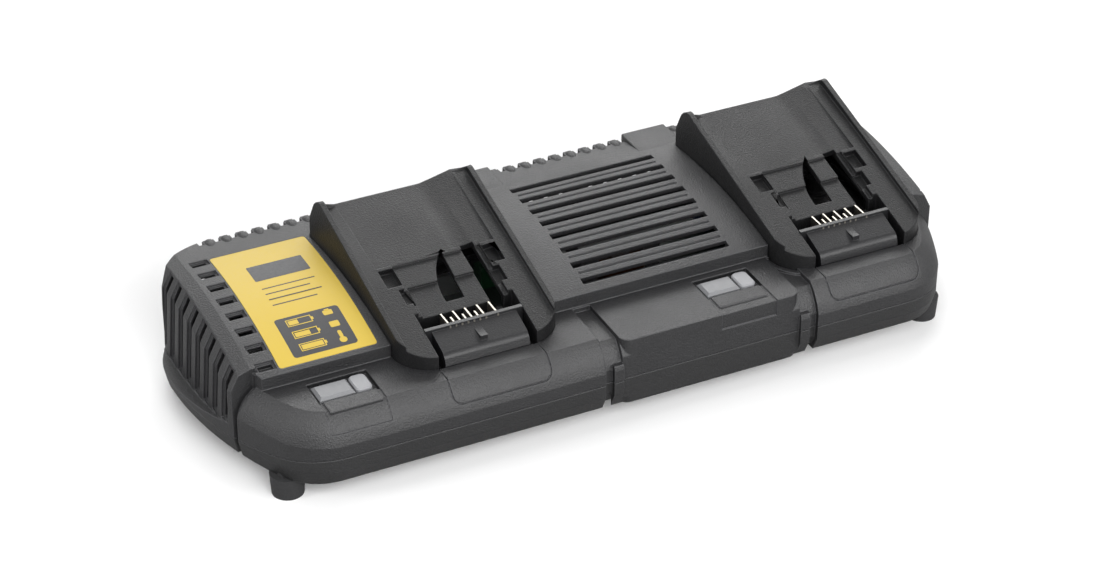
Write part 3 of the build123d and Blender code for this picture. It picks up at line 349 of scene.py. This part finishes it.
def finishes():
    """One material for each of the part's material slots."""
    colours = bpy.context.scene.charger_colours
    shape = bpy.context.scene.charger_shape
    grain, edge = shape.grain, shape.housing_edge
    return {
        "housing_grey": moulded_plastic("housing_grain", colours.housing, 0.44, grain, 0.9, edge),
        "lower_grey": moulded_plastic("lower_grain", colours.lower, 0.46, grain, 0.9, edge),
        "dock_grey": moulded_plastic("dock_grain", colours.dock, 0.42, grain, 0.8, edge, 0.3),
        "black_plastic": moulded_plastic(
            "contact_block_black", (0.009, 0.009, 0.01), 0.36, grain, 0.4, 0.3 * MM, 0.4
        ),
        "foot_rubber": plain_part("foot_rubber", (0.016, 0.016, 0.017), 0.75, 0, 600, 0.2, 0.4),
        "contact_brass": plain_part("contact_plating", (0.34, 0.32, 0.28), 0.36, 1.0, 1500, 0.06),
        "zinc_steel": plain_part("zinc_plating", (0.60, 0.61, 0.63), 0.30, 1.0, 1200, 0.08),
        # Painted shade: the solder mask is darkened to near black, well below its own green, to stand
        # for the unlit inside of the housing.
        "circuit_board": plain_part("solder_mask_painted_shade", (0.002, 0.006, 0.004), 0.5, 0, 500, 0.15),
        "ferrite": plain_part("ferrite", (0.05, 0.05, 0.052), 0.55, 0, 700, 0.2, 0.3),
        # Painted shade: the enamelled copper is darkened below its own colour to stand for the unlit
        # inside of the housing.
        "copper_wire": plain_part("enamelled_copper_painted_shade", (0.10, 0.04, 0.018), 0.40, 0.8, 2200, 0.2, 0.5),
        "capacitor_sleeve": plain_part("capacitor_sleeve", (0.02, 0.03, 0.06), 0.3, 0, 400, 0.1),
        "sink_aluminium": plain_part("extruded_aluminium", (0.68, 0.69, 0.70), 0.36, 1.0, 900, 0.06),
        "film_yellow": plain_part("film_case", (0.12, 0.07, 0.012), 0.5, 0, 400, 0.1),
        "fuse_glass": plain_part("fuse_glass", (0.72, 0.76, 0.76), 0.12, 0, 300, 0.04),
        "terminal_green": plain_part("terminal_green", (0.01, 0.05, 0.02), 0.4, 0, 500, 0.12),
        "lamp_red": plain_part("lamp_red", (0.55, 0.02, 0.015), 0.2, 0, 300, 0.08),
        "label_film": plain_part("label_yellow", tuple(colours.label), 0.5, 0, 700, 0.03, 0.03),
        "ink": plain_part("label_ink", tuple(colours.ink), 0.5, 0, 700, 0.06, 0.03),
        "lens_grey": plain_part("lens_grey", tuple(colours.lens), 0.45, 0, 500, 0.08, 0.05),
        "lens_white": plain_part("lens_white", (0.24, 0.243, 0.255), 0.45, 0, 500, 0.06, 0.05),
    }


def paint(obj, material):
    """The piece wears one material."""
    obj.data.materials.clear()
    obj.data.materials.append(material)


def node_slots():
    """Material slot of each CAD node."""
    return {part["node"]: part["material_slot"] for part in frame["record"]["subparts"]}


# ---------------------------------------------------------------- shaping helpers


def finish_piece(name, bm, slot_name, replaced=(), finish=None):
    """Turns a bmesh into a piece that rides on the part."""
    mesh = bpy.data.meshes.new(name)
    bm.to_mesh(mesh)
    bm.free()
    piece = bpy.data.objects.new(name, mesh)
    bpy.context.scene.collection.objects.link(piece)
    paint(piece, FINISHES[finish or slot_name])
    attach(piece, "root")
    if replaced:
        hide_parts(*replaced)
    return piece


def node_copy(name):
    """The CAD node's solid as a merged bmesh with its flat faces joined."""
    bm = bmesh.new()
    bm.from_mesh(frame["nodes"][name].data)
    bmesh.ops.remove_doubles(bm, verts=bm.verts, dist=0.002 * MM)
    bmesh.ops.dissolve_limit(
        bm, angle_limit=radians(0.4), use_dissolve_boundaries=False, verts=bm.verts, edges=bm.edges
    )
    return bm


def softened(name, bm, node, slot_name, width):
    """A reworked copy of a node with its sharp edges rounded, shown in the node's place."""
    piece = finish_piece(name, bm, slot_name, (node,))
    piece.data.shade_smooth()
    piece.data.set_sharp_from_angle(angle=radians(35))
    bevel = piece.modifiers.new("rounded_edges", "BEVEL")
    bevel.width = width
    bevel.segments = 2
    bevel.limit_method = "ANGLE"
    bevel.angle_limit = radians(35)
    bevel.miter_outer = "MITER_ARC"
    bevel.use_clamp_overlap = True
    even = piece.modifiers.new("even_shading", "WEIGHTED_NORMAL")
    even.keep_sharp = True
    return piece


def slice_up(bm, axis, places):
    """Cuts a copy's faces across at the given places along one axis."""
    normal = Vector((0, 0, 0))
    normal[axis] = 1
    for place in places:
        bmesh.ops.bisect_plane(
            bm,
            geom=[*bm.verts, *bm.edges, *bm.faces],
            plane_co=normal * place,
            plane_no=normal,
        )


def round_over(bm, edges, radius, segments=4):
    """Rounds the chosen edges of a copy."""
    bmesh.ops.bevel(
        bm,
        geom=edges,
        offset=radius,
        segments=segments,
        profile=0.5,
        affect="EDGES",
        material=-1,
        clamp_overlap=True,
    )


def sharp_edges(bm, wanted):
    """Sharp edges whose middle passes the test."""
    bm.normal_update()
    return [
        edge
        for edge in bm.edges
        if len(edge.link_faces) == 2
        and edge.calc_face_angle(0) > radians(35)
        and wanted((edge.verts[0].co + edge.verts[1].co) / 2)
    ]


def dip_bed(bm, middle, dip):
    """Dips the rear of a dock's bed beside the left rim, rising again to the crest on the right."""
    slice_up(bm, 0, [middle + x * MM for x in (-30, -18, -6, 6, 18, 22, 26, 30)])
    slice_up(bm, 1, [y * MM for y in (-8, 4, 16, 28, 38, 46)])
    for vert in bm.verts:
        x, y = (vert.co.x - middle) / MM, vert.co.y / MM
        above = vert.co.z / MM - BED_Z - (y - BED_Y) * tan(BED_ANGLE)
        if abs(x) > 37.05 or not -20 < above < 1 or y < -8:
            continue
        along = min(1, (y + 8) / 58) ** 1.3
        across = min(1, max(0.3, 1 - 0.7 * (x - 14) / 16))
        fade = min(1, (above + 20) / 12)
        level = -dip / MM * across
        if above > -3:
            vert.co.z += along * (level - above) * MM
        else:
            vert.co.z += along * fade * level * MM


def print_patch(bm, left, right, front, back, radius=0.0):
    """Flat patch of print in plan, with rounded corners where a radius is given (millimetres)."""
    corners = [
        bm.verts.new((x * MM, y * MM, 0))
        for x, y in ((left, front), (right, front), (right, back), (left, back))
    ]
    bm.faces.new(corners)
    if radius:
        bmesh.ops.bevel(
            bm,
            geom=corners,
            offset=radius * MM,
            segments=4,
            profile=0.5,
            affect="VERTICES",
            material=-1,
        )


def print_frame(bm, left, right, front, back, line):
    """Outline of a rectangle, drawn as four strips."""
    print_patch(bm, left, right, front, front + line)
    print_patch(bm, left, right, back - line, back)
    print_patch(bm, left, left + line, front + line, back - line)
    print_patch(bm, right - line, right, front + line, back - line)


def lay_print(name, bm, surface, height, finish):
    """Bends flat print over the label and gives it the thickness of ink."""
    low, high = min(v.co.y for v in bm.verts), max(v.co.y for v in bm.verts)
    cut = low + 3 * MM
    while cut < high:
        bmesh.ops.bisect_plane(
            bm,
            geom=[*bm.verts, *bm.edges, *bm.faces],
            plane_co=(0, cut, 0),
            plane_no=(0, 1, 0),
        )
        cut += 3 * MM
    for vert in bm.verts:
        found = surface.ray_cast(Vector((vert.co.x, vert.co.y, 1)), Vector((0, 0, -1)))[0]
        if found is None:
            raise RuntimeError(f"{name} reaches past the edge of the label")
        vert.co.z = found.z + height
    bmesh.ops.recalc_face_normals(bm, faces=bm.faces)
    if sum(face.normal.z for face in bm.faces) < 0:
        bmesh.ops.reverse_faces(bm, faces=bm.faces)
    bmesh.ops.solidify(bm, geom=bm.faces[:], thickness=height * 1.5)
    return finish_piece(name, bm, "label_film", finish=finish)


FINISHES = {}


class CHARGER_OT_finishes(bpy.types.Operator):
    """Give every CAD node its procedural finish"""

    bl_idname = "charger.finishes"
    bl_label = "Finishes"

    def execute(self, context):
        FINISHES.update(finishes())
        for node, slot_name in node_slots().items():
            paint(frame["nodes"][node], FINISHES[slot_name])
        return {"FINISHED"}


# ---------------------------------------------------------------- pieces


class CHARGER_OT_label_print(bpy.types.Operator):
    """Plain print on the label: dark panels, charge-level bars and ruled lines, with no words"""

    bl_idname = "charger.label_print"
    bl_label = "Label print"

    def execute(self, context):
        height = context.scene.charger_shape.print_height
        surface = BVHTree.FromBMesh(node_copy("label_plate"))
        dark = bmesh.new()
        print_patch(dark, -152.4, -121.2, -31.2, -5.6, 1.6)
        print_patch(dark, -149.0, -121.6, 24.4, 37.4, 0.6)
        for row in range(4):
            print_patch(dark, -148.5, -122.5 - 4 * (row % 2), 17.4 - 4.4 * row, 18.1 - 4.4 * row)
        lay_print("label_dark_print", dark, surface, height, "ink")
        pale = bmesh.new()
        for row, filled in enumerate((0.45, 0.7, 1.0)):
            middle = -9.9 - 8.1 * row
            print_frame(pale, -147.6, -135.4, middle - 2.3, middle + 2.3, 0.45)
            print_patch(pale, -135.4, -134.6, middle - 0.9, middle + 0.9)
            print_patch(pale, -146.7, -146.7 + 10.4 * filled, middle - 1.4, middle + 1.4)
        print_patch(pale, -129.4, -124.8, -10.6, -7.4, 0.7)
        print_patch(pale, -128.2, -126.0, -7.4, -6.8)
        print_patch(pale, -129.4, -124.8, -18.9, -15.2, 0.7)
        print_patch(pale, -128.0, -126.2, -26.0, -21.6, 0.8)
        print_patch(pale, -128.9, -125.3, -29.2, -25.8, 1.6)
        lay_print("label_pale_print", pale, surface, 2 * height, "label_film")
        return {"FINISHED"}


class CHARGER_OT_docks(bpy.types.Operator):
    """The two battery docks with their moulded edges rounded"""

    bl_idname = "charger.docks"
    bl_label = "Docks"

    def execute(self, context):
        shape = context.scene.charger_shape
        for side in SIDES:
            dock = f"{side}_dock"
            low, high = (Vector(corner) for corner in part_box(dock))
            middle = (low.x + high.x) / 2

            def on_rim(point):
                x, y = abs(point.x - middle) / MM, point.y / MM
                above = point.z / MM - BED_Z - (y - BED_Y) * tan(BED_ANGLE)
                round_corner = y < -38 and (x - 21.6) ** 2 + (y + 38) ** 2 > 16.5**2 and x > 21.6
                return -1.5 < above < 3 and (x > 38.6 or round_corner)

            bm = node_copy(dock)
            round_over(bm, sharp_edges(bm, on_rim), shape.rim_radius)
            dip_bed(bm, middle, shape.bed_dip)
            softened(f"{side}_dock_body", bm, dock, "dock_grey", shape.dock_edge)

            block = f"{side}_contact_block"
            bm = node_copy(block)
            lip = sharp_edges(bm, lambda point: point.y < -53 * MM and point.z > 50 * MM)
            round_over(bm, lip, shape.rim_radius, 5)
            softened(f"{side}_contact_cover", bm, block, "black_plastic", shape.dock_edge / 2)
        return {"FINISHED"}


class CHARGER_OT_rear_ribs(bpy.types.Operator):
    """Rounded ribs between the rear vents, and the raised blocks beside them"""

    bl_idname = "charger.rear_ribs"
    bl_label = "Rear ribs"

    def execute(self, context):
        rise = context.scene.charger_shape.rib_rise
        bm = bmesh.new()
        for rib in range(-RIBS_EACH_WAY, RIBS_EACH_WAY + 1):
            x = RIB_MIDDLE_X + RIB_PITCH * rib
            if any(left < x < right for left, right in RIBLESS):
                continue
            place = Matrix.Translation((x * MM, RIB_Y * MM, RIB_Z * MM))
            form = Matrix.Diagonal((rise, RIB_HALF_DEPTH * MM, rise, 1))
            bmesh.ops.create_uvsphere(
                bm, u_segments=20, v_segments=12, radius=1, matrix=place @ form
            )
        piece = finish_piece("rear_rib_crowns", bm, "housing_grey")
        piece.data.shade_smooth()
        blocks = bmesh.new()
        for left, right in BLOCK_ENDS:
            size = Vector((right - left, BLOCK_DEPTH, BLOCK_HEIGHT)) * MM
            middle = Vector(((left + right) / 2, BLOCK_Y, BLOCK_Z)) * MM
            bmesh.ops.create_cube(
                blocks, size=1, matrix=Matrix.Translation(middle) @ Matrix.Diagonal((*size, 1))
            )
        round_over(blocks, blocks.edges[:], 0.8 * MM, 3)
        piece = finish_piece("roof_end_blocks", blocks, "housing_grey")
        piece.data.shade_smooth()
        return {"FINISHED"}


# ---------------------------------------------------------------- stage


def aim(obj, position, target, roll=0.0):
    """Places a lamp or camera so that it looks at a target."""
    turn = (Vector(target) - Vector(position)).to_track_quat("-Z", "Y").to_matrix().to_4x4()
    obj.matrix_world = Matrix.Translation(position) @ turn @ Matrix.Rotation(roll, 4, "Z")


def soft_lamp(name, position, target, size, power):
    """Rectangular soft lamp."""
    lamp = bpy.data.lights.new(name, "AREA")
    lamp.shape = "RECTANGLE"
    lamp.size, lamp.size_y = size
    lamp.energy = power
    obj = bpy.data.objects.new(name, lamp)
    bpy.context.scene.collection.objects.link(obj)
    aim(obj, position, target)
    return obj


class CHARGER_OT_stage(bpy.types.Operator):
    """Floor, soft lamps, plain surroundings and camera"""

    bl_idname = "charger.stage"
    bl_label = "Stage"

    def execute(self, context):
        scene = context.scene
        stage = scene.charger_stage
        scene.view_settings.view_transform = "Standard"

        bm = bmesh.new()
        bmesh.ops.create_grid(bm, x_segments=2, y_segments=2, size=6)
        mesh = bpy.data.meshes.new("floor")
        bm.to_mesh(mesh)
        bm.free()
        floor = bpy.data.objects.new("floor", mesh)
        scene.collection.objects.link(floor)
        material, nodes, links, shader = new_material("floor_pale")
        place = nodes.new("ShaderNodeTexCoord")
        cloud = noise(nodes, links, place, 3, 2, 0.5)
        pale = blended(nodes, links, cloud.outputs["Fac"], (0.96, 0.96, 0.96), (0.98, 0.98, 0.98))
        seen = nodes.new("ShaderNodeLightPath").outputs["Is Camera Ray"]
        links.new(blended(nodes, links, seen, (0.45, 0.45, 0.45), pale), shader.inputs["Base Color"])
        shader.inputs["Roughness"].default_value = 0.9
        paint(floor, material)

        world = bpy.data.worlds.new("surroundings")
        scene.world = world
        world.use_nodes = True
        nodes, links = world.node_tree.nodes, world.node_tree.links
        nodes.clear()
        output = nodes.new("ShaderNodeOutputWorld")
        mixed = nodes.new("ShaderNodeMixShader")
        light = nodes.new("ShaderNodeBackground")
        light.inputs["Color"].default_value = (1, 1, 1, 1)
        light.inputs["Strength"].default_value = stage.surroundings
        seen = nodes.new("ShaderNodeBackground")
        seen.inputs["Color"].default_value = (1, 1, 1, 1)
        seen.inputs["Strength"].default_value = 1.0
        path = nodes.new("ShaderNodeLightPath")
        bright = path.outputs["Is Camera Ray"]
        for ray in ("Is Transmission Ray", "Is Glossy Ray"):
            either = nodes.new("ShaderNodeMath")
            either.operation = "MAXIMUM"
            links.new(bright, either.inputs[0])
            links.new(path.outputs[ray], either.inputs[1])
            bright = either.outputs[0]
        links.new(bright, mixed.inputs[0])
        links.new(light.outputs[0], mixed.inputs[1])
        links.new(seen.outputs[0], mixed.inputs[2])
        links.new(mixed.outputs[0], output.inputs[0])

        centre = Vector((0, 0, 0.03))
        power = stage.lamp_power
        soft_lamp("rear_lamp", (0.45, 1.0, 0.75), centre, (1.5, 0.45), power * 0.9)
        soft_lamp("top_lamp", (-0.2, 0.1, 1.3), centre, (1.2, 0.5), power * 0.25)
        soft_lamp("left_lamp", (-1.2, 0.0, 0.45), centre, (0.3, 0.8), power * 0.4)
        soft_lamp("front_lamp", (-0.5, -0.9, 1.0), centre, (1.2, 0.6), power * 0.7)
        soft_lamp("low_lamp", (0.3, -1.2, 0.6), centre, (2.0, 0.9), power * 1.9)

        camera = bpy.data.cameras.new("camera")
        camera.sensor_width = 36
        camera.lens = stage.lens
        camera.clip_start = 0.01
        obj = bpy.data.objects.new("camera", camera)
        scene.collection.objects.link(obj)
        target = Vector((-15.65, -12.37, 40.0)) * MM
        forward = Vector(
            (
                sin(stage.azimuth) * cos(stage.elevation),
                cos(stage.azimuth) * cos(stage.elevation),
                -sin(stage.elevation),
            )
        )
        aim(obj, target - stage.distance * forward, target, stage.roll)
        scene.camera = obj
        return {"FINISHED"}


class CHARGER_PT_panel(bpy.types.Panel):
    """Lists the charger's build steps"""

    bl_idname = "CHARGER_PT_panel"
    bl_label = "Charger"
    bl_space_type = "VIEW_3D"
    bl_region_type = "UI"
    bl_category = "Charger"

    def draw(self, context):
        scene = context.scene
        for group in (scene.charger_shape, scene.charger_colours, scene.charger_stage):
            for name in group.__annotations__:
                self.layout.prop(group, name)
        for step in STEPS:
            self.layout.operator(step.bl_idname)


STEPS = (
    CHARGER_OT_finishes,
    CHARGER_OT_docks,
    CHARGER_OT_rear_ribs,
    CHARGER_OT_label_print,
    CHARGER_OT_stage,
)
GROUPS = {
    "charger_shape": ChargerShape,
    "charger_colours": ChargerColours,
    "charger_stage": ChargerStage,
}


def register():
    for name, group in GROUPS.items():
        bpy.utils.register_class(group)
        setattr(bpy.types.Scene, name, PointerProperty(type=group))
    for step in STEPS:
        bpy.utils.register_class(step)
    bpy.utils.register_class(CHARGER_PT_panel)


def unregister():
    bpy.utils.unregister_class(CHARGER_PT_panel)
    for step in reversed(STEPS):
        bpy.utils.unregister_class(step)
    for name, group in reversed(GROUPS.items()):
        delattr(bpy.types.Scene, name)
        bpy.utils.unregister_class(group)


def main():
    register()
    bpy.ops.charger.finishes()
    bpy.ops.charger.docks()
    bpy.ops.charger.rear_ribs()
    bpy.ops.charger.label_print()
    bpy.ops.charger.stage()


if __name__ == "__main__":
    main()
